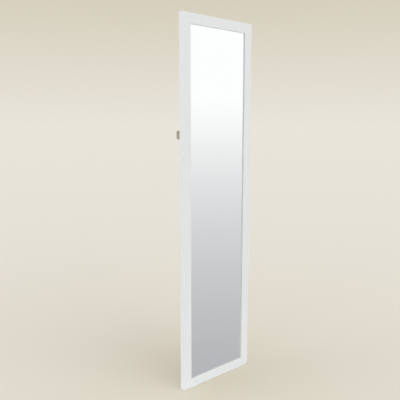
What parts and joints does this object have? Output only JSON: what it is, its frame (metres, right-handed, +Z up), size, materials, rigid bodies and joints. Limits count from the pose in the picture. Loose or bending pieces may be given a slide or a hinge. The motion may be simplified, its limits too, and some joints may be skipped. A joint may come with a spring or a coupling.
{
  "type": "standing mirror",
  "caption": "Tall narrow standing mirror in a flat white mitred frame, with a rear stand that folds flat behind it and swings out on side pivots so that it leans back.",
  "frame": {"origin": "on the floor, in the middle of the width and of the depth with the stand folded", "axes": "+X to the right as seen from the front, +Y to the back, +Z up"},
  "size_m": [0.4, 0.043, 1.6015],
  "materials": {
    "white_lacquer": "satin white lacquer on wood fibre board",
    "silvered_glass": "silvered float glass",
    "hardboard": "bare brown hardboard",
    "liner_card": "grey-brown card",
    "zinc_steel": "bright zinc plating",
    "galvanised_steel": "dull hot-dip zinc with a faint spangle",
    "bronze_casting": "bronze lacquer on cast metal",
    "nylon": "natural nylon",
    "black_rubber": "matt black rubber",
    "clear_rubber": "milky soft rubber",
    "felt": "grey felt",
    "beech": "bare beech"
  },
  "bodies": {
    "mirror": {"left_stile": "white_lacquer", "right_stile": "white_lacquer", "top_rail": "white_lacquer", "bottom_rail": "white_lacquer", "mitre_splines": "beech", "mirror_pane": "silvered_glass", "pane_setting_blocks": "clear_rubber", "liner_card": "liner_card", "back_panel": "hardboard", "glazing_points": "galvanised_steel", "corner_braces": "galvanised_steel", "corner_brace_screws": "zinc_steel", "left_pivot_bracket": "bronze_casting", "right_pivot_bracket": "bronze_casting", "bracket_screws": "zinc_steel", "left_pivot_pin": "zinc_steel", "right_pivot_pin": "zinc_steel", "pivot_caps": "zinc_steel", "left_floor_pad": "clear_rubber", "right_floor_pad": "clear_rubber", "leg_bumpers": "felt"},
    "rear_stand": {"left_leg": "white_lacquer", "right_leg": "white_lacquer", "upper_rung": "white_lacquer", "lower_rung": "white_lacquer", "rung_screws": "zinc_steel", "left_pivot_bush": "nylon", "right_pivot_bush": "nylon", "left_leg_foot": "black_rubber", "right_leg_foot": "black_rubber"}
  },
  "joints": [
    {"name": "stand_swing", "type": "hinge", "parent": "mirror", "child": "rear_stand", "pos_m": [0, 0.013, 1.1155], "axis": [1, 0, 0], "range_deg": [0, 17]}
  ]
}
